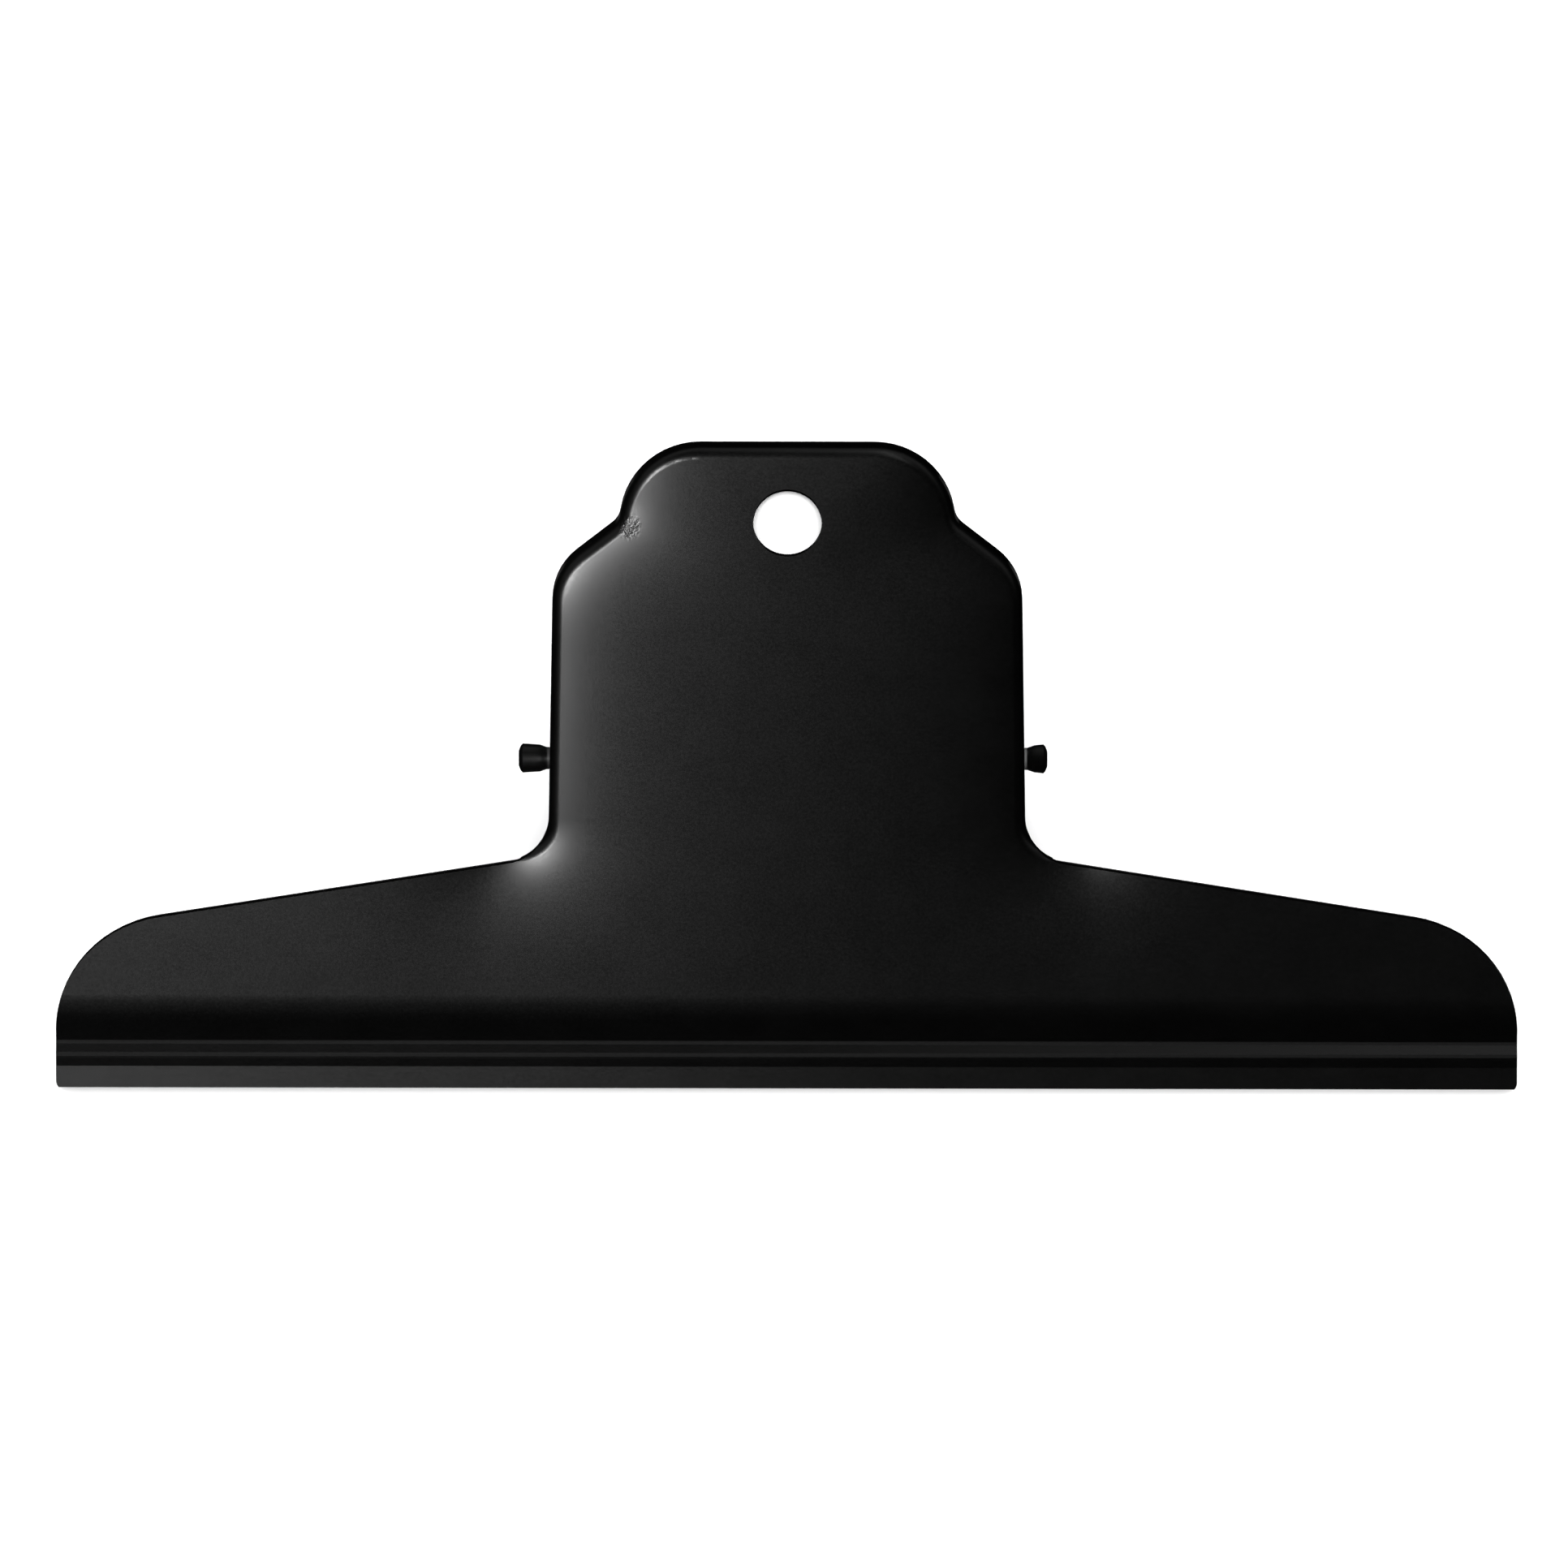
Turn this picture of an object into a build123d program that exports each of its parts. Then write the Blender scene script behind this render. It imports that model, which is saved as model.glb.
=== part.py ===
from build123d import *
import math
import os

# A wide bulldog clip: two pressed steel plates, each a jaw and a handle in one sheet,
# hinged on a pin through their ears and held shut by a torsion spring round that pin.
# The clip lies on the flat of its rear plate. X runs along the jaw, Y from the jaw to the
# handles and Z up. The origin is under the middle of the clip, on the surface it lies on.
# Heights on a plate are measured along the plate from the foot of the hinge axis.

# Sheet and pose
sheet = 0.9                   # thickness of the pressed steel
plate_angle = 30.0            # between the two plates when the jaws are shut
hinge_depth = 10.0            # from a plate's outer face to the hinge axis
jaw_gap = 0.2                 # between the two lips when shut

# Handle outline, half widths and heights
handle_top = 34.35
tab_half_width = 15.35
tab_radius = 8.0
notch_half_width = 16.65
notch_drop = 7.7              # from the top of the handle
notch_radius = 2.2
shoulder_half_width = 23.2
shoulder_drop = 12.85         # from the top of the handle
shoulder_radius = 6.5
neck_half_width = 23.65
neck_height = -6.9
neck_radius = 3.0

# Turned-back rim and ears
bend_radius = 1.1             # outside of the bend
rim_depth = 3.0
rim_end_depth = 1.3           # below the ears, where the rim runs out into the wings
ear_radius = 3.4              # of the ear round the pin
ear_tip_radius = 2.7
ear_root_radius = 1.8
ear_rise = 10.0               # height where the ear leaves the rim above the pin
ear_fall = -4.4               # height where the ear leaves the rim below the pin
ear_gap = 0.4                 # between the front and the rear plate's ears

# Wings and jaw, heights along the plane between the two jaws below the hinge axis
jaw_half_width = 72.5
wing_slope = 9.15             # degrees that the wings fall towards their ends
wing_root_height = -7.5       # where a wing's top edge would meet the neck
wing_end_radius = 12.0
neck_cut_radius = 4.5
belly_height = -23.1          # on the plate, where the jaw turns inward
belly_radius = 8.0
valley_below_hinge = 28.2
crest_below_hinge = 29.45
crest_rise = 0.5
lip_start_below_hinge = 30.6
lip_end_below_hinge = 32.75
lip_toe = 0.3                 # how far a lip leans in from its start to its end
valley_radius = 0.2
crest_radius = 0.25
lip_radius = 0.3
lip_corner_radius = 1.0
lip_trim = 0.1                # how far below the lip its corners' rounding is drawn

# Hanging hole
hole_diameter = 6.85
hole_drop = 7.55              # from the top of the handle to the middle of the hole

# Hinge pin
pin_diameter = 2.2
pin_clearance = 0.05          # radial, in the ears
pin_left_reach = 3.1          # of its ends beyond the front plate's ears
pin_right_reach = 2.3
pin_neck = 0.3                # straight stretch outside the ears
pin_spread = 0.7              # length over which an end widens most
pin_spread_diameter = 2.7
pin_end_diameter = 2.9
pin_end_edge = 0.2            # taken off the edge of an end
pin_face_diameter = 1.5       # of the flat left on each end
pin_dome = 0.2                # how far an end bulges out round that flat

# Torsion spring
wire_diameter = 1.8
wire_sides = 8                # flats round the wire
coil_diameter = 6.2           # at the middle of the wire
coil_turns = 4                # whole turns, and about a third of a turn more between the legs
coil_pitch = 2.4
leg_height = 22.0             # where the end of a leg bears on its handle
leg_clearance = 0.25          # between a leg's end and the handle

margin = 1.0                  # how far a cutting shape reaches past the metal
near = 1e-4                   # two points this close are the same

half_angle = math.radians(plate_angle / 2)
notch_height = handle_top - notch_drop
shoulder_height = handle_top - shoulder_drop
hole_height = handle_top - hole_drop


def on_plate(below_hinge, off_middle):
    """Height and depth on a plate of a point given from the plane between the jaws."""
    height = -below_hinge * math.cos(half_angle) + off_middle * math.sin(half_angle)
    depth = hinge_depth - below_hinge * math.sin(half_angle) - off_middle * math.cos(half_angle)
    return height, depth


lip_face = jaw_gap / 2 + sheet
lip_end = on_plate(lip_end_below_hinge, lip_face)
lowest = -lip_end_below_hinge * math.cos(half_angle) - lip_face * math.sin(half_angle)
hinge_y = -(handle_top + lowest) / 2
hinge_z = hinge_depth
hinge = Axis((0, hinge_y, hinge_z), (1, 0, 0))

lip_lowest = on_plate(lip_end_below_hinge, jaw_gap / 2)[0]
flat_bottom = belly_height + 2 * belly_radius * math.tan(half_angle)
pan_depth = hinge_depth + ear_radius + bend_radius
outside = jaw_half_width + bend_radius + 2 * sheet + margin


def wing_height(x):
    """The height of a wing's straight top edge at this distance from the middle."""
    return wing_root_height - (x - neck_half_width) * math.tan(math.radians(wing_slope))


def mirrored(points):
    """A closed outline from its right half, which runs from the top down."""
    left = [(-x, y) for x, y in reversed(points)]
    return points + left


def round_corner(face, corner, radius):
    """The face with its vertex at this corner rounded."""
    x, y = corner
    found = face.vertices().filter_by(lambda v: math.hypot(v.X - x, v.Y - y) < near)
    return fillet(found, radius)


def rounded(points, radii):
    """A face from right-half corner points, each corner rounded by its own radius."""
    face = make_face(Polyline(*mirrored(points), close=True))
    for (x, y), radius in zip(points, radii):
        if radius:
            face = round_corner(round_corner(face, (x, y), radius), (-x, y), radius)
    return face


def handle_outline(narrower, bottom):
    """The handle with its arms over the wings, which the wing cut takes away again."""
    points = [
        (tab_half_width - narrower, handle_top),
        (notch_half_width - narrower, notch_height),
        (shoulder_half_width - narrower, shoulder_height),
        (neck_half_width - narrower, neck_height),
        (outside, neck_height),
        (outside, bottom),
    ]
    return rounded(points, [tab_radius, notch_radius, shoulder_radius, neck_radius, 0, 0])


def block(outline, low, high):
    """An outline in X and height, extruded through a range of depth."""
    return Pos(0, 0, low) * extrude(outline, high - low)


def rim_edges(solid, depth, bottom):
    """The edges at this depth that run round the handle, without the bottom and the arms' ends."""
    level = solid.edges().filter_by_position(Axis.Z, depth - near, depth + near)
    across = level.filter_by(lambda e: abs(e.center().Y - bottom) > near)
    return across.filter_by(lambda e: abs(e.center().X) < outside - 2 * sheet)


def side_profile():
    """The rim and the ears seen along the hinge, as a prism through the whole width."""
    reach = hinge_depth + ear_radius
    points = [
        (handle_top + margin, -margin),
        (handle_top + margin, rim_depth),
        (ear_rise, rim_depth),
        (ear_radius, reach),
        (-ear_radius, reach),
        (ear_fall, rim_end_depth),
        (flat_bottom - margin, rim_end_depth),
        (flat_bottom - margin, -margin),
    ]
    face = make_face(Polyline(*points, close=True))
    face = round_corner(face, points[3], ear_tip_radius)
    face = round_corner(face, points[4], ear_tip_radius)
    face = round_corner(face, points[2], ear_root_radius)
    face = round_corner(face, points[5], ear_root_radius)
    return along_hinge(face, outside + margin)


def along_hinge(face, half_width):
    """A face drawn in height and depth, extruded to both sides along X."""
    plane = Plane(origin=(0, 0, 0), x_dir=(0, 1, 0), z_dir=(1, 0, 0))
    return extrude(plane * face, half_width, both=True)


def handle_pan(narrower):
    """The hollow handle: a sheet with its rim bent back all round."""
    outer = block(handle_outline(narrower, flat_bottom), 0, pan_depth)
    outer = fillet(rim_edges(outer, 0, flat_bottom), bend_radius)
    low = flat_bottom - 2 * sheet
    inner_outline = offset(handle_outline(narrower, low), -sheet, kind=Kind.ARC)
    inner = block(inner_outline, sheet, pan_depth + margin)
    inner = fillet(rim_edges(inner, sheet, low + sheet), bend_radius - sheet)
    return (outer - inner) & side_profile()


def parallel(points, distance):
    """The corner points of a line at this distance to the left of another."""
    result = []
    for i, (x, y) in enumerate(points):
        before = points[max(i - 1, 0)]
        after = points[min(i + 1, len(points) - 1)]
        incoming = (x - before[0], y - before[1]) if i else (after[0] - x, after[1] - y)
        outgoing = (after[0] - x, after[1] - y) if i < len(points) - 1 else incoming
        normals = []
        for dx, dy in (incoming, outgoing):
            size = math.hypot(dx, dy)
            normals.append((-dy / size, dx / size))
        nx = normals[0][0] + normals[1][0]
        ny = normals[0][1] + normals[1][1]
        scale = distance / (0.5 * (nx * nx + ny * ny))
        result.append((x + nx * scale, y + ny * scale))
    return result


def jaw_section():
    """The flat of the wing, the belly, the bead and the lip, as one bent sheet."""
    base_face = lip_face + lip_toe
    outer = [
        (flat_bottom, 0),
        (belly_height, 0),
        on_plate(valley_below_hinge, base_face),
        on_plate(crest_below_hinge, base_face + crest_rise),
        on_plate(lip_start_below_hinge, base_face),
        lip_end,
    ]
    inner = parallel(outer, -sheet)
    outer_radii = [belly_radius, valley_radius, crest_radius, lip_radius]
    inner_radii = [belly_radius - sheet, valley_radius + sheet, 0, lip_radius + sheet]
    face = make_face(Polyline(*outer, *reversed(inner), close=True))
    for corner, radius in zip(outer[1:5] + inner[1:5], outer_radii + inner_radii):
        if radius:
            face = round_corner(face, corner, radius)
    return face


def front_outline(narrower):
    """What the blank keeps of the wings, the lip and the neck, seen square to the plate."""
    slope = math.radians(wing_slope)
    root_x = neck_half_width - narrower
    root_height = wing_height(root_x)
    run = neck_cut_radius * math.tan(math.radians(45) - slope / 2)
    centre = (root_x + neck_cut_radius, root_height + run)
    touch_x = centre[0] - neck_cut_radius * math.sin(slope)
    points = [
        (touch_x, handle_top + margin),
        (touch_x, wing_height(touch_x)),
        (jaw_half_width, wing_height(jaw_half_width)),
        (jaw_half_width, lip_lowest - lip_trim),
    ]
    face = rounded(points, [0, 0, wing_end_radius, lip_corner_radius])
    for side in (-1, 1):
        face -= Pos(side * centre[0], centre[1]) * Circle(neck_cut_radius)
    return face


def plate(narrower):
    """One pressed plate, lying on its outer face with its handle towards +Y."""
    sheet_metal = handle_pan(narrower) + along_hinge(jaw_section(), outside)
    sheet_metal &= block(front_outline(narrower), -margin, pan_depth)
    sheet_metal -= Pos(0, hole_height, 0) * Cylinder(hole_diameter / 2, 4 * sheet)
    bore = Cylinder(pin_diameter / 2 + pin_clearance, 2 * outside)
    sheet_metal -= Pos(0, 0, hinge_depth) * Rot(0, 90, 0) * bore
    return Pos(0, hinge_y, 0) * sheet_metal


def rear_plate():
    """The plate that the clip lies on, with its ears inside the other's."""
    return plate(sheet + ear_gap)


def front_plate():
    """The same pressing turned over, opened by the angle between the plates."""
    turned = mirror(plate(0), about=Plane.XY.offset(hinge_depth))
    return turned.rotate(hinge, plate_angle)


def pin_end(ear_face, reach):
    """Outline of one end of the pin, from the middle of its flat to its neck."""
    tip = ear_face + reach
    neck_end = ear_face + pin_neck
    end_radius = pin_end_diameter / 2
    return [
        (tip, 0),
        (tip, pin_face_diameter / 2),
        (tip - pin_dome, end_radius - pin_end_edge),
        (tip - pin_dome - pin_end_edge, end_radius),
        (neck_end + pin_spread, pin_spread_diameter / 2),
        (neck_end, pin_diameter / 2),
    ]


def hinge_pin():
    """A rod through the four ears, its ends spread outside the front plate's ears."""
    along = (neck_half_width - shoulder_half_width) / (shoulder_height - neck_height)
    ear_face = neck_half_width + neck_height * along
    right = pin_end(ear_face, pin_right_reach)
    left = [(-x, y) for x, y in reversed(pin_end(ear_face, pin_left_reach))]
    face = make_face(Polyline(*right, *left, close=True))
    return Pos(0, hinge_y, hinge_z) * revolve(face, Axis.X)


def biarc(start, start_way, end, end_way):
    """Two arcs that join two points along the given unit directions."""
    gap = end - start
    ways = start_way + end_way
    squared = 2 * (1 - start_way.dot(end_way))
    product = gap.dot(ways)
    reach = (math.sqrt(product ** 2 + squared * gap.dot(gap)) - product) / squared
    first = start + start_way * reach
    second = end - end_way * reach
    middle = (first + second) / 2
    return [
        Edge.make_tangent_arc(start, start_way, middle),
        Edge.make_tangent_arc(middle, second - first, end),
    ]


def least_gap(path):
    """The least clear gap of the wire to itself, over points more than half a turn apart."""
    steps = 12
    step = math.pi * coil_diameter / 2 / steps
    count = round(path.length / step)
    points = [path.position_at(i / count) for i in range(count + 1)]
    least = math.inf
    for i, p in enumerate(points):
        for q in points[i + steps:]:
            least = min(least, (p - q).length)
    return least - wire_diameter


def torsion_spring():
    """A coil round the pin that unrolls into a straight leg against each handle."""
    radius = coil_diameter / 2
    leg_depth = hinge_depth - sheet - leg_clearance - wire_diameter / 2
    leg_distance = math.hypot(leg_height, leg_depth)
    leg_angle = math.atan2(leg_depth, leg_height)
    lean = math.acos(radius / leg_distance)
    start_angle = -leg_angle - lean
    sweep_angle = 2 * (leg_angle + lean + half_angle)
    total = 2 * math.pi * (coil_turns + 1) - sweep_angle
    rise = coil_pitch / (2 * math.pi)

    def point(turned):
        angle = start_angle - turned
        return Vector(rise * (turned - total / 2), radius * math.cos(angle), radius * math.sin(angle))

    def way(turned):
        angle = start_angle - turned
        return Vector(rise, radius * math.sin(angle), -radius * math.cos(angle)).normalized()

    halves = 2 * (coil_turns + 1)
    steps = [total * i / halves for i in range(halves + 1)]
    leg = math.sqrt(leg_distance ** 2 - radius ** 2) * math.hypot(radius, rise) / radius
    first_end = point(0) - way(0) * leg
    last_end = point(total) + way(total) * leg
    edges = [Edge.make_line(first_end, point(0))]
    for a, b in zip(steps, steps[1:]):
        edges += biarc(point(a), way(a), point(b), way(b))
    edges.append(Edge.make_line(point(total), last_end))
    print("spring: least gap of the wire to itself %.2f mm" % least_gap(Wire(edges)))
    profile = Plane(origin=first_end, z_dir=way(0)) * RegularPolygon(wire_diameter / 2, wire_sides)
    wire = sweep(profile, path=Wire(edges))
    return Pos(0, hinge_y, hinge_z) * wire


nodes = {
    "rear_plate": rear_plate(),
    "front_plate": front_plate(),
    "hinge_pin": hinge_pin(),
    "torsion_spring": torsion_spring(),
}
os.makedirs("parts", exist_ok=True)
for name, shape in nodes.items():
    export_step(shape, os.path.join("parts", name + ".step"))
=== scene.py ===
import math
import bmesh
import bpy
from mathutils import Matrix, Vector


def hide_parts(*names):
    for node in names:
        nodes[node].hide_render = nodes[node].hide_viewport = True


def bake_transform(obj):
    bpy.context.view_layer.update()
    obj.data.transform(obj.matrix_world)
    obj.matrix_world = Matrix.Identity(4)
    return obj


# Looks of a wide black bulldog clip. Lengths are in metres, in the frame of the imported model.

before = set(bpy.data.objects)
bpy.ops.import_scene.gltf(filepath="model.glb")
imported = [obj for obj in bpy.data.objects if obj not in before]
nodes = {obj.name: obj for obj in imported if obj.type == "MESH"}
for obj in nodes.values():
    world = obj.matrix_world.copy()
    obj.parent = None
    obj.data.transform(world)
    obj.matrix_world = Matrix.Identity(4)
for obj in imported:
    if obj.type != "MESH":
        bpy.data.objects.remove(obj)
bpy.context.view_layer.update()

MM = 0.001
HALF_ANGLE = math.radians(15.0)           # between a plate and the plane between the jaws
HINGE = Vector((0.0, -1.2286 * MM, 10.0 * MM))
ACROSS = Vector((1.0, 0.0, 0.0))
UP_CLIP = Vector((0.0, math.cos(HALF_ANGLE), math.sin(HALF_ANGLE)))
OFF_CLIP = Vector((0.0, -math.sin(HALF_ANGLE), math.cos(HALF_ANGLE)))


def clip_point(x, y, z):
    """A point given in mm along the jaw, up the clip and out of the plane between the jaws."""
    return HINGE + (ACROSS * x + UP_CLIP * y + OFF_CLIP * z) * MM


# Outline of a handle, x from the middle of the plate and v up the plate from the hinge

CORNER_X = 28.15 * MM                     # middle of the round corner between handle and wing
CORNER_V = -3.67 * MM
CORNER_RADIUS = 4.5 * MM
SHOULDER_X = 16.65 * MM                   # a point on the slanting shoulder
SHOULDER_V = 26.65 * MM
SHOULDER_OUT = (0.618, 0.786)             # the way that the shoulder faces
TAB_SIDE = 15.9 * MM
TAB_TOP = 38.35 * MM                      # past the real top, so that the face hardly sinks there
SHOULDER_ROUNDING = 5.0 * MM
TAB_ROUNDING = 7.0 * MM
NOTCH_ROUNDING = 3.0 * MM
HANDLE_REACH = 29.0 * MM                  # the rim's shading fades out along the wings, from here
WING_START = 46.0 * MM                    # to here

# Shape of the pressing, too slight for the solids

RIM_FALL = 1.125 * MM                     # how far the face of a handle sinks towards its rim
RIM_REACH = 5.57 * MM                     # how far in from the rim that sinking reaches
EDGE_FALL = 0.182 * MM                    # the same, close to the bend
EDGE_REACH = 1.59 * MM
CROWN_SLOPE = 0.0401                      # of the plate to both sides of its middle
CROWN_WIDTH = 15.1 * MM                   # over which that slope sets in
MIDDLE_ROUNDING = 14.0 * MM               # where the two sides meet
LIP_LEAN = 0.07                           # slope of the lip below the bead
LIP_TOP = -28.4 * MM                      # where the lip starts, up the plate from the hinge
BEAD_CREASES = (-26.89 * MM, -27.99 * MM)  # small bends above and on the bead, up the plate from the hinge
CREASE_HALF_WIDTH = (0.11 * MM, 0.19 * MM)  # the paint is dull inside the first and as usual past the second
CREASE_DULLNESS = 0.60

# Paint. Pairs are the least and the most of a slow change over the surface.

FRONT_OUTWARD = (0.0, -math.sin(2 * HALF_ANGLE), math.cos(2 * HALF_ANGLE))
REAR_OUTWARD = (0.0, 0.0, -1.0)
# Painted shade: the outer face is made a deeper black than the rest. Painted light: the inside and side walls
# are made lighter.
OUTER_BLACK_PAINTED_SHADE = (0.0002, 0.0004)
INNER_BLACK_PAINTED_LIGHT = (0.030, 0.040)
PAINT_ROUGHNESS = (0.340, 0.352)
SPECKLE_ROUGHNESS = 0.035
GRAIN_HEIGHT = 0.0012 * MM
PEEL_HEIGHT = 0.0008 * MM
FLAW_PLACE = (-15.7 * MM, 26.4 * MM, 9.9 * MM)  # a flaw in the paint at the front plate's left notch
FLAW_RADII = (0.5 * MM, 1.6 * MM)
FLAW_HEIGHT = 0.13 * MM

EAR_FACE = 23.54 * MM                     # from the middle to the outside of the front plate's ears
HIGHLIGHT_RING_OUTSIDE = (0.20 * MM, 0.32 * MM)     # beyond the ear, where the pin's painted highlight ring ends
HIGHLIGHT_RING_INSIDE = (1.2 * MM, 0.9 * MM)        # within the ear, where it starts
INNER_PIN_FADE = (1.5 * MM, 1.2 * MM)     # within the ear, where the pin between the ears ends
HIGHLIGHT_RING_SHADES = (0.028, 0.085)              # shade of the painted highlight at the left ear and at the right ear
INNER_PIN_SHADE = 0.034
PIN_BLACK = (0.0003, 0.0007)
PIN_ROUGHNESS = (0.34, 0.40)
PIN_MARKS = 0.0004 * MM


class Nodes:
    """A short way to add linked shader nodes to one material."""

    def __init__(self, name):
        self.material = bpy.data.materials.new(name)
        self.material.use_nodes = True
        self.tree = self.material.node_tree
        self.shader = self.tree.nodes["Principled BSDF"]

    def link(self, value, socket):
        if hasattr(value, "is_output"):
            self.tree.links.new(value, socket)
        else:
            socket.default_value = value

    def add(self, kind, settings, inputs, output=0):
        node = self.tree.nodes.new(kind)
        for key, value in settings.items():
            setattr(node, key, value)
        for key, value in inputs.items():
            self.link(value, node.inputs[key])
        return node.outputs[output]

    def math(self, operation, a, b=0.0, c=0.0):
        return self.add("ShaderNodeMath", {"operation": operation}, {0: a, 1: b, 2: c})

    def noise(self, vector, scale, detail=2.0, roughness=0.5):
        return self.add("ShaderNodeTexNoise", {},
                        {"Vector": vector, "Scale": scale, "Detail": detail, "Roughness": roughness})

    def spread(self, value, low, high, to_low, to_high, smooth=False):
        kind = "SMOOTHSTEP" if smooth else "LINEAR"
        return self.add("ShaderNodeMapRange", {"interpolation_type": kind},
                        {0: value, 1: low, 2: high, 3: to_low, 4: to_high})

    def vary(self, noise, pair):
        """Turns a noise into a change between two values."""
        return self.spread(noise, 0.3, 0.7, *pair)

    def length(self, a, b):
        """The long side of a right triangle."""
        return self.math("SQRT", self.math("ADD", self.math("MULTIPLY", a, a), self.math("MULTIPLY", b, b)))

    def axes(self, vector):
        parts = self.tree.nodes.new("ShaderNodeSeparateXYZ")
        self.link(vector, parts.inputs[0])
        return parts.outputs

    def grey(self, shade):
        """Paints a grey that changes over the surface."""
        colour = self.add("ShaderNodeCombineColor", {}, {0: shade, 1: shade, 2: shade})
        self.link(colour, self.shader.inputs["Base Color"])

    def shades(self, value, dark, light):
        ramp = self.tree.nodes.new("ShaderNodeValToRGB")
        ramp.color_ramp.elements[0].position = 0.3
        ramp.color_ramp.elements[0].color = (*dark, 1.0)
        ramp.color_ramp.elements[1].position = 0.7
        ramp.color_ramp.elements[1].color = (*light, 1.0)
        self.link(value, ramp.inputs[0])
        self.link(ramp.outputs[0], self.shader.inputs["Base Color"])

    def roughness(self, value):
        self.link(value, self.shader.inputs["Roughness"])

    def coordinates(self):
        return self.add("ShaderNodeTexCoord", {}, {}, "Object")

    def bump(self, height):
        normal = self.add("ShaderNodeBump", {}, {"Strength": 1.0, "Distance": 1.0, "Height": height})
        self.link(normal, self.shader.inputs["Normal"])


def pressed_form(n, x, v):
    """How far the pressing lies below a flat sheet, x from the middle of the plate and v up it."""
    below = n.math("MAXIMUM", n.math("SUBTRACT", CORNER_V, v), 0.0)
    flank = n.math("SUBTRACT", n.length(n.math("SUBTRACT", CORNER_X, x), below), CORNER_RADIUS)
    slant = n.math("MULTIPLY", n.math("SUBTRACT", SHOULDER_X, x), SHOULDER_OUT[0])
    slant = n.math("MULTIPLY_ADD", n.math("SUBTRACT", SHOULDER_V, v), SHOULDER_OUT[1], slant)
    shoulder = n.math("SMOOTH_MIN", flank, slant, SHOULDER_ROUNDING)
    tab_side = n.math("SUBTRACT", TAB_SIDE, x)
    tab = n.math("SMOOTH_MIN", tab_side, n.math("SUBTRACT", TAB_TOP, v), TAB_ROUNDING)
    inside = n.math("MAXIMUM", n.math("SMOOTH_MAX", shoulder, tab, NOTCH_ROUNDING), 0.0)
    soft = n.math("EXPONENT", n.math("DIVIDE", inside, -RIM_REACH))
    crisp = n.math("EXPONENT", n.math("DIVIDE", inside, -EDGE_REACH))
    near_rim = n.math("MULTIPLY_ADD", crisp, EDGE_FALL, n.math("MULTIPLY", soft, RIM_FALL))
    on_handle = n.spread(x, HANDLE_REACH, WING_START, -1.0, 0.0, True)
    crown = n.math("SUBTRACT", n.length(x, CROWN_WIDTH), CROWN_WIDTH)
    lip = n.math("MINIMUM", n.math("SUBTRACT", v, LIP_TOP), 0.0)
    jaw = n.math("MULTIPLY_ADD", lip, LIP_LEAN, n.math("MULTIPLY", crown, -CROWN_SLOPE))
    return n.math("MULTIPLY_ADD", near_rim, on_handle, jaw)


def flaw(n, place, local):
    """Small folds in the paint round one spot."""
    away = n.add("ShaderNodeVectorMath", {"operation": "DISTANCE"}, {0: local, 1: FLAW_PLACE}, "Value")
    inside = n.spread(away, *FLAW_RADII, 1.0, 0.0, True)
    folds = n.math("SUBTRACT", n.noise(place, 2400.0, 2.0, 0.6), 0.5)
    return n.math("MULTIPLY", n.math("MULTIPLY", folds, FLAW_HEIGHT), inside)


def painted_light_share(n, outward):
    """How far a point belongs to the inside or the side walls of a plate, and not to its outer face: where
    painted light makes the paint lighter.
    """
    normal = n.add("ShaderNodeTexCoord", {}, {}, "Normal")
    facing = n.add("ShaderNodeVectorMath", {"operation": "DOT_PRODUCT"}, {0: normal, 1: outward}, "Value")
    sideways = n.spread(n.math("ABSOLUTE", n.axes(normal)[0]), 0.75, 0.95, 0.0, 1.0, True)
    walls = n.math("MULTIPLY", sideways, n.spread(facing, 0.0, 0.25, 1.0, 0.0, True))
    return n.math("MAXIMUM", walls, n.spread(facing, -0.55, -0.15, 1.0, 0.0, True))


def plate_paint(name, tilt, outward, flawed):
    """Satin black paint with a fine grain; the outer face is a deeper black as painted shade, the sides and
    inside lighter as painted light.
    """
    n = Nodes(name)
    place = n.coordinates()
    turn = Matrix.Rotation(-tilt, 3, "X")
    local = n.add("ShaderNodeMapping", {"vector_type": "POINT"},
                  {"Vector": place, "Location": turn @ -HINGE, "Rotation": (-tilt, 0.0, 0.0)})
    u, v, _ = n.axes(local)

    from_middle = n.math("SMOOTH_MAX", u, n.math("MULTIPLY", u, -1.0), MIDDLE_ROUNDING)
    speckle = n.noise(place, 4200.0, 2.0, 0.6)
    grain = n.math("MULTIPLY", speckle, GRAIN_HEIGHT)
    peel = n.math("MULTIPLY", n.noise(place, 620.0, 1.0), PEEL_HEIGHT)
    height = n.math("ADD", pressed_form(n, from_middle, v), n.math("ADD", grain, peel))
    if flawed:
        height = n.math("ADD", height, flaw(n, place, local))
    n.bump(height)

    cloud = n.noise(place, 240.0, 3.0)
    # painted shade on the outer face, painted light on the inside and side walls
    outer = n.vary(cloud, OUTER_BLACK_PAINTED_SHADE)
    n.grey(n.math("MULTIPLY_ADD", painted_light_share(n, outward), n.vary(cloud, INNER_BLACK_PAINTED_LIGHT), outer))

    fine = n.vary(speckle, (-SPECKLE_ROUGHNESS, SPECKLE_ROUGHNESS))
    roughness = n.math("ADD", n.vary(cloud, PAINT_ROUGHNESS), fine)
    for crease in BEAD_CREASES:
        apart = n.math("ABSOLUTE", n.math("SUBTRACT", v, crease))
        roughness = n.math("ADD", roughness, n.spread(apart, *CREASE_HALF_WIDTH, CREASE_DULLNESS, 0.0, True))
    n.roughness(roughness)
    return n.material


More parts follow.
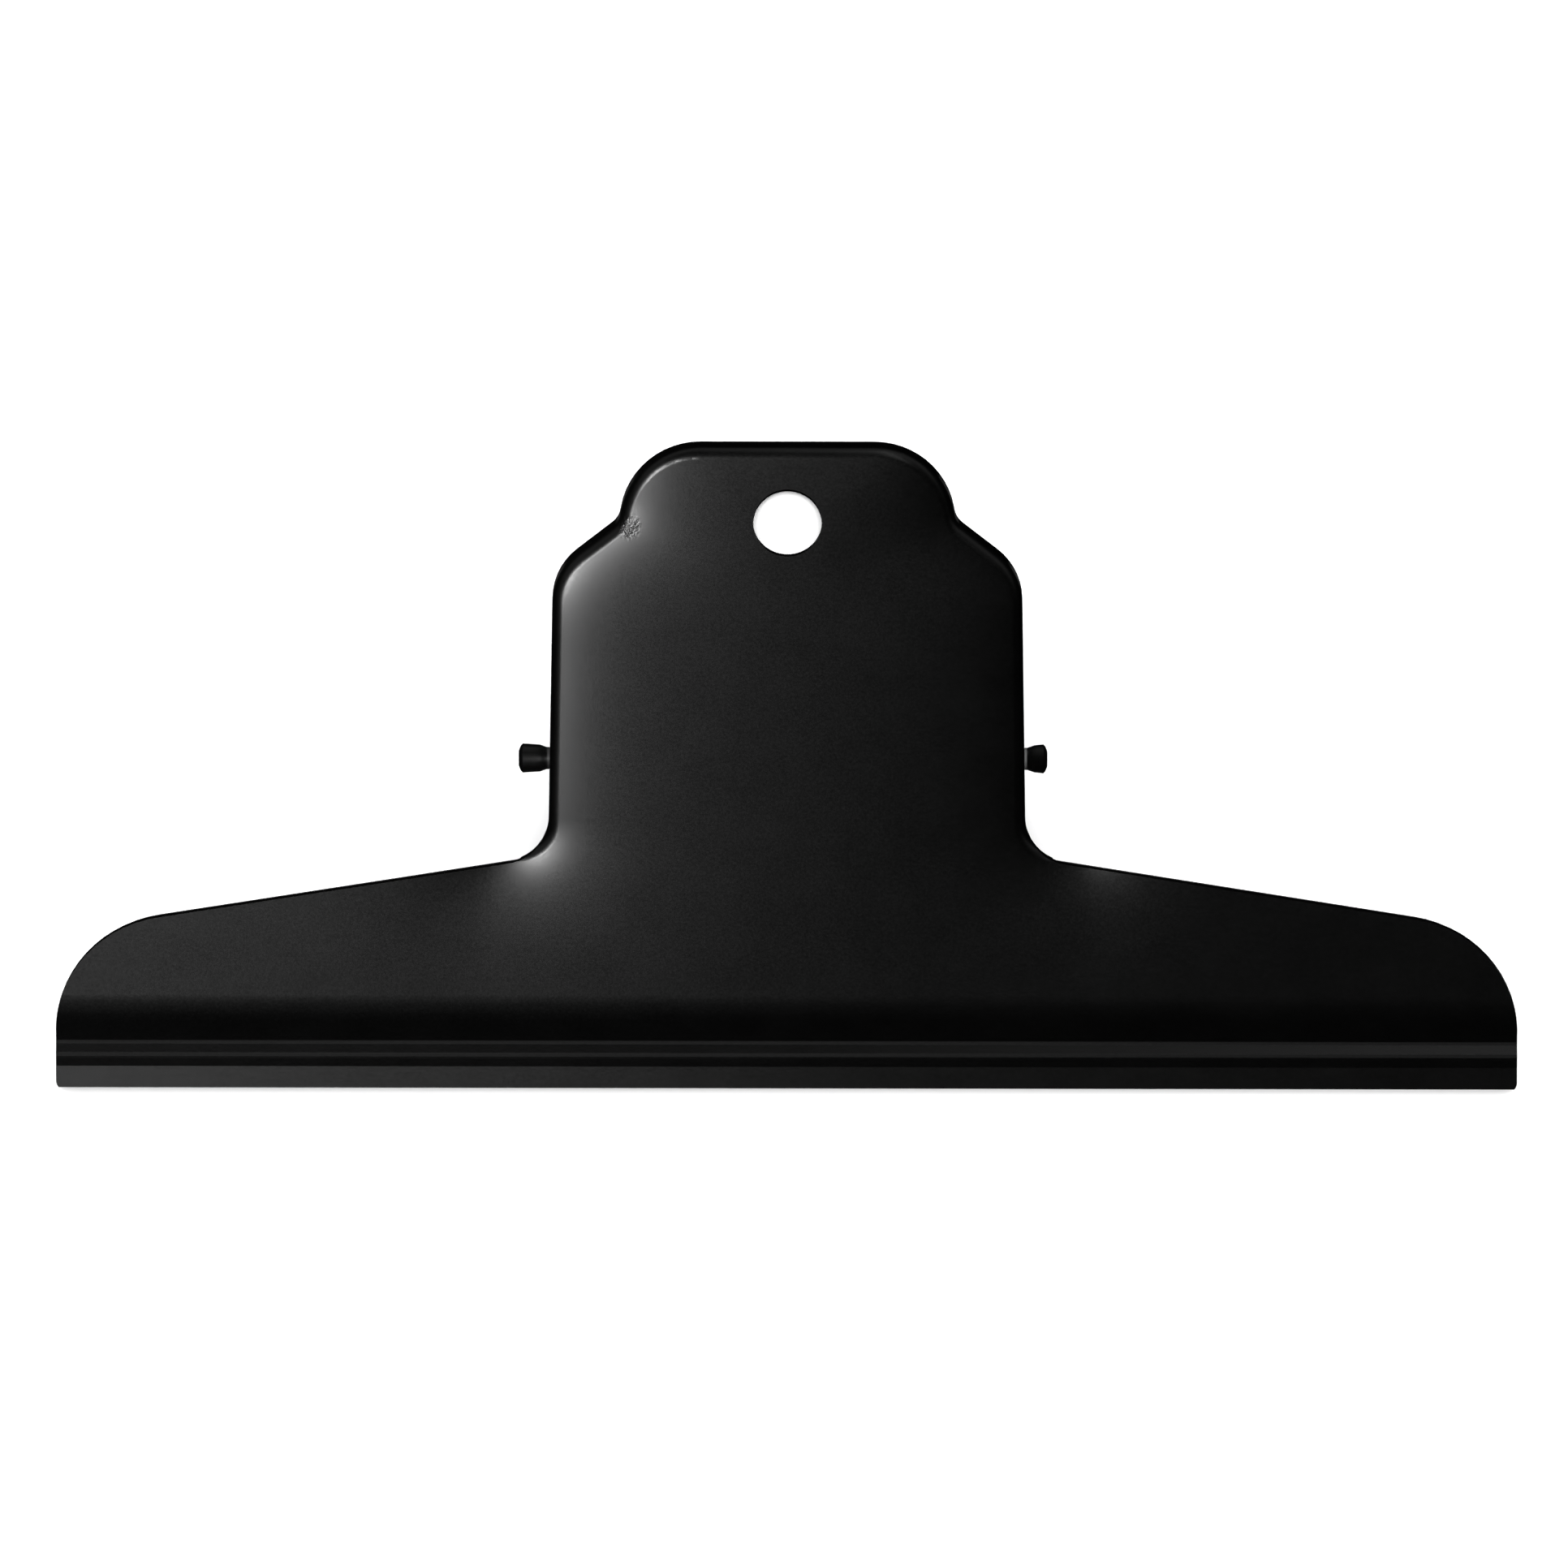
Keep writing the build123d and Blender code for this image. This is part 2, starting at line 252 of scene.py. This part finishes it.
def pin_paint():
    """Black paint on the hinge pin's ends, a painted highlight as a pale ring where each leaves its ear, and
    dark steel between.
    """
    n = Nodes("pin_black")
    place = n.coordinates()
    x = n.axes(place)[0]
    out = n.math("ABSOLUTE", x)
    grain = n.noise(place, 2400.0, 3.0)
    marks = n.noise(n.add("ShaderNodeMapping", {}, {"Vector": place, "Scale": (6.0, 0.4, 0.4)}), 900.0, 2.0)
    n.bump(n.math("MULTIPLY", n.math("ADD", grain, marks), PIN_MARKS))

    # Painted highlight: a pale ring on the pin where it leaves each ear, brighter at the right ear.
    highlight_end = n.spread(out, EAR_FACE + HIGHLIGHT_RING_OUTSIDE[0], EAR_FACE + HIGHLIGHT_RING_OUTSIDE[1], 1.0, 0.0, True)
    highlight_start = n.spread(out, EAR_FACE - HIGHLIGHT_RING_INSIDE[0], EAR_FACE - HIGHLIGHT_RING_INSIDE[1], 0.0, 1.0, True)
    ring = n.math("MULTIPLY", highlight_end, highlight_start)
    ring = n.math("MULTIPLY", ring, n.spread(x, -EAR_FACE, EAR_FACE, *HIGHLIGHT_RING_SHADES))
    fade_start, fade_end = (EAR_FACE - depth for depth in INNER_PIN_FADE)
    between = n.spread(out, fade_start, fade_end, INNER_PIN_SHADE, 0.0, True)
    paint = n.math("ADD", between, n.vary(marks, PIN_BLACK))
    n.grey(n.math("ADD", paint, n.math("MULTIPLY", ring, n.vary(marks, (0.93, 1.07)))))
    n.roughness(n.vary(n.noise(place, 260.0), PIN_ROUGHNESS))
    return n.material


def spring_steel():
    """Blackened spring wire with a fine drawn surface."""
    n = Nodes("spring_blackened")
    n.shader.inputs["Metallic"].default_value = 1.0
    place = n.coordinates()
    fine = n.noise(place, 3200.0, 2.0)
    n.bump(n.math("MULTIPLY", fine, 0.004 * MM))
    n.shades(n.noise(place, 420.0, 4.0), (0.055, 0.055, 0.060), (0.120, 0.118, 0.115))
    n.roughness(n.vary(fine, (0.30, 0.46)))
    return n.material


def floor_white():
    """A matt white studio floor."""
    n = Nodes("floor_white")
    n.shader.inputs["Specular IOR Level"].default_value = 0.0
    n.shader.inputs["Roughness"].default_value = 1.0
    n.shades(n.noise(n.coordinates(), 3.0, 2.0), (0.900, 0.900, 0.900), (0.915, 0.915, 0.915))
    return n.material


def dress(obj, material):
    obj.data.materials.clear()
    obj.data.materials.append(material)


# Smooth shading of the CAD nodes

JOIN_DISTANCE = 0.002 * MM
SHARP_ANGLE = math.radians(38.0)          # bends turn less than this from face to face


def smoothing():
    """Joins the faces' borders and marks the real edges, so that flats run smoothly into bends."""
    group = bpy.data.node_groups.new("join_and_mark_edges", "GeometryNodeTree")
    group.interface.new_socket("Geometry", in_out="INPUT", socket_type="NodeSocketGeometry")
    group.interface.new_socket("Geometry", in_out="OUTPUT", socket_type="NodeSocketGeometry")
    add = group.nodes.new
    source = add("NodeGroupInput")
    result = add("NodeGroupOutput")
    merge = add("GeometryNodeMergeByDistance")
    merge.inputs["Distance"].default_value = JOIN_DISTANCE
    faces = add("GeometryNodeSetShadeSmooth")
    faces.domain = "FACE"
    edges = add("GeometryNodeSetShadeSmooth")
    edges.domain = "EDGE"
    edges.inputs["Shade Smooth"].default_value = False
    angle = add("GeometryNodeInputMeshEdgeAngle")
    sharp = add("FunctionNodeCompare")
    sharp.operation = "GREATER_THAN"
    sharp.inputs["B"].default_value = SHARP_ANGLE
    for a, b in (
        (source.outputs[0], merge.inputs["Geometry"]),
        (merge.outputs[0], faces.inputs["Geometry"]),
        (faces.outputs[0], edges.inputs["Geometry"]),
        (angle.outputs["Unsigned Angle"], sharp.inputs["A"]),
        (sharp.outputs[0], edges.inputs["Selection"]),
        (edges.outputs[0], result.inputs[0]),
    ):
        group.links.new(a, b)
    return group


def smooth(obj, group):
    obj.modifiers.new("join", "NODES").node_group = group
    weighted = obj.modifiers.new("flats_first", "WEIGHTED_NORMAL")
    weighted.mode = "FACE_AREA"
    weighted.weight = 100
    weighted.keep_sharp = True


dress(nodes["front_plate"], plate_paint("front_black", 2 * HALF_ANGLE, FRONT_OUTWARD, True))
dress(nodes["rear_plate"], plate_paint("rear_black", 0.0, REAR_OUTWARD, False))
dress(nodes["hinge_pin"], pin_paint())
edge_marks = smoothing()
for name in ("front_plate", "rear_plate", "hinge_pin"):
    smooth(nodes[name], edge_marks)


# The torsion spring: a round wire, coiled round the pin with a straight leg along each handle

WIRE = 0.9 * MM                           # radius
COIL = 3.1 * MM                           # radius at the middle of the wire
PITCH = 2.4 * MM
TURNS = 4
LEG_HEIGHT = 22.0 * MM
LEG_DEPTH = 7.95 * MM                     # of a leg's end below the hinge axis
ROUND = 20                                # sides of the wire
TURN_STEPS = 56
LEG_STEPS = 12
WIRE_END = ((0.0, 0.80), (0.12, 0.95), (0.35, 1.0))  # distance from the end and radius, in wire radii


def spring_path():
    """The middle line of the wire, from the rear leg's end to the front leg's end."""
    reach = math.hypot(LEG_HEIGHT, LEG_DEPTH)
    leg_angle = math.atan2(LEG_DEPTH, LEG_HEIGHT)
    lean = math.acos(COIL / reach)
    start = -leg_angle - lean
    total = 2 * math.pi * (TURNS + 1) - 2 * (leg_angle + lean + HALF_ANGLE)
    rise = PITCH / (2 * math.pi)
    steps = round(total / (2 * math.pi) * TURN_STEPS)
    coil = []
    for i in range(steps + 1):
        turned = total * i / steps
        angle = start - turned
        coil.append(Vector((rise * (turned - total / 2), COIL * math.cos(angle), COIL * math.sin(angle))))
    leg = math.sqrt(reach ** 2 - COIL ** 2) * math.hypot(COIL, rise) / COIL

    def way(angle):
        return Vector((rise, COIL * math.sin(angle), -COIL * math.cos(angle))).normalized()

    first = coil[0] - way(start) * leg
    last = coil[-1] + way(start - total) * leg
    before = [first.lerp(coil[0], i / LEG_STEPS) for i in range(LEG_STEPS)]
    after = [coil[-1].lerp(last, (i + 1) / LEG_STEPS) for i in range(LEG_STEPS)]
    return [HINGE + p for p in before + coil + after], rise * total / 2


def tube(name, path, radius):
    """A closed round tube along a path, its ends slightly rounded."""
    mesh = bmesh.new()
    end = len(path) - 1
    ways = [(path[min(i + 1, end)] - path[max(i - 1, 0)]).normalized() for i in range(end + 1)]
    sections = [(0, along, share) for along, share in WIRE_END]
    sections += [(i, 0.0, 1.0) for i in range(1, end)]
    sections += [(end, -along, share) for along, share in reversed(WIRE_END)]
    side = ways[0].orthogonal().normalized()
    rings = []
    for i, along, share in sections:
        side = (side - ways[i] * side.dot(ways[i])).normalized()
        over = ways[i].cross(side)
        centre = path[i] + ways[i] * along * radius
        ring = []
        for k in range(ROUND):
            a = 2 * math.pi * k / ROUND
            ring.append(mesh.verts.new(centre + (side * math.cos(a) + over * math.sin(a)) * radius * share))
        rings.append(ring)
    for a, b in zip(rings, rings[1:]):
        for k in range(ROUND):
            after = (k + 1) % ROUND
            face = mesh.faces.new((a[k], a[after], b[after], b[k]))
            face.smooth = True
    mesh.faces.new(list(reversed(rings[0])))
    mesh.faces.new(rings[-1])
    return mesh_object(name, mesh)


def mesh_object(name, mesh):
    data = bpy.data.meshes.new(name)
    mesh.to_mesh(data)
    mesh.free()
    obj = bpy.data.objects.new(name, data)
    bpy.context.scene.collection.objects.link(obj)
    return obj


path, coil_half = spring_path()
spring = tube("spring_wire", path, WIRE)
dress(spring, spring_steel())
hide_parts("torsion_spring")
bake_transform(spring)


# Floor, light and camera

FLOOR_SIDE = 6.0
FLOOR_DROP = 0.05 * MM                    # below the part, so that their faces don't meet
WALL_GLOW = 0.25                          # strength of the pale wall behind the handles


def plane(name, size, z):
    mesh = bmesh.new()
    bmesh.ops.create_grid(mesh, x_segments=1, y_segments=1, size=size / 2)
    obj = mesh_object(name, mesh)
    obj.location = (0.0, 0.0, z)
    return obj


floor = plane("floor", FLOOR_SIDE, -FLOOR_DROP)
dress(floor, floor_white())
floor.visible_glossy = False


def soft_light(name, place, width, height, watts, glossy=True):
    """A rectangular soft light that faces the clip, seen in reflections or else on matt surfaces."""
    away = (place - clip_point(0, 0, 8)).normalized()
    across = UP_CLIP.cross(away).normalized()
    data = bpy.data.lights.new(name, "AREA")
    data.shape = "RECTANGLE"
    data.size = width
    data.size_y = height
    data.energy = watts
    obj = bpy.data.objects.new(name, data)
    turn = Matrix((across, away.cross(across), away)).transposed()
    obj.matrix_world = Matrix.Translation(place) @ turn.to_4x4()
    obj.visible_camera = False
    obj.visible_diffuse = not glossy
    obj.visible_glossy = glossy
    bpy.context.scene.collection.objects.link(obj)


soft_light("overhead", Vector((0.0, 0.0, 2.2)), width=3.4, height=3.4, watts=200.0, glossy=False)
soft_light("panel_left", clip_point(-197, -41, 320), width=0.077, height=0.139, watts=1.485)
soft_light("panel_right", clip_point(83, 179, 150), width=0.061, height=0.230, watts=0.043)


def studio_world():
    """A dark room with a pale wall low down behind the handles."""
    world = bpy.data.worlds.new("studio")
    world.use_nodes = True
    tree = world.node_tree
    axes = tree.nodes.new("ShaderNodeSeparateXYZ")
    tree.links.new(tree.nodes.new("ShaderNodeTexCoord").outputs["Generated"], axes.inputs[0])
    above_floor = (2, 0.0, 0.05, 0.0, 1.0)
    below_ceiling = (2, 0.35, 0.75, 1.0, 0.0)
    behind_handles = (1, -0.2, 0.5, 0.0, WALL_GLOW)
    share = None
    for axis, *limits in (above_floor, below_ceiling, behind_handles):
        step = tree.nodes.new("ShaderNodeMapRange")
        step.interpolation_type = "SMOOTHSTEP"
        tree.links.new(axes.outputs[axis], step.inputs[0])
        for index, value in enumerate(limits, 1):
            step.inputs[index].default_value = value
        if share is None:
            share = step.outputs[0]
            continue
        both = tree.nodes.new("ShaderNodeMath")
        both.operation = "MULTIPLY"
        tree.links.new(share, both.inputs[0])
        tree.links.new(step.outputs[0], both.inputs[1])
        share = both.outputs[0]
    background = tree.nodes["Background"]
    background.inputs["Color"].default_value = (1.0, 1.0, 1.0, 1.0)
    tree.links.new(share, background.inputs["Strength"])
    return world


bpy.context.scene.world = studio_world()
bpy.context.scene.view_settings.view_transform = "Standard"
bpy.context.scene.view_settings.look = "None"

PIXELS_PER_MM = 12.41                     # in the photograph, at the target
PHOTO_SIDE = 1932
DISTANCE = 3000.0                         # mm
LIFT = math.radians(0.25)
ROLL = math.radians(0.1)
SENSOR = 36.0

target = clip_point(-0.3, -2.54, 0)
back = UP_CLIP * math.sin(LIFT) + OFF_CLIP * math.cos(LIFT)
up = UP_CLIP * math.cos(LIFT) - OFF_CLIP * math.sin(LIFT)
side_axis = ACROSS * math.cos(ROLL) + up * math.sin(ROLL)
up_axis = up * math.cos(ROLL) - ACROSS * math.sin(ROLL)
camera_data = bpy.data.cameras.new("photo_camera")
camera_data.sensor_width = SENSOR
camera_data.lens = SENSOR * DISTANCE * PIXELS_PER_MM / PHOTO_SIDE
camera_data.clip_start = 0.1
camera_data.clip_end = 20.0
camera_data.dof.use_dof = False
camera = bpy.data.objects.new("photo_camera", camera_data)
bpy.context.scene.collection.objects.link(camera)
rotation = Matrix((side_axis, up_axis, back)).transposed()
camera.matrix_world = Matrix.Translation(target + back * DISTANCE * MM) @ rotation.to_4x4()
bpy.context.scene.camera = camera
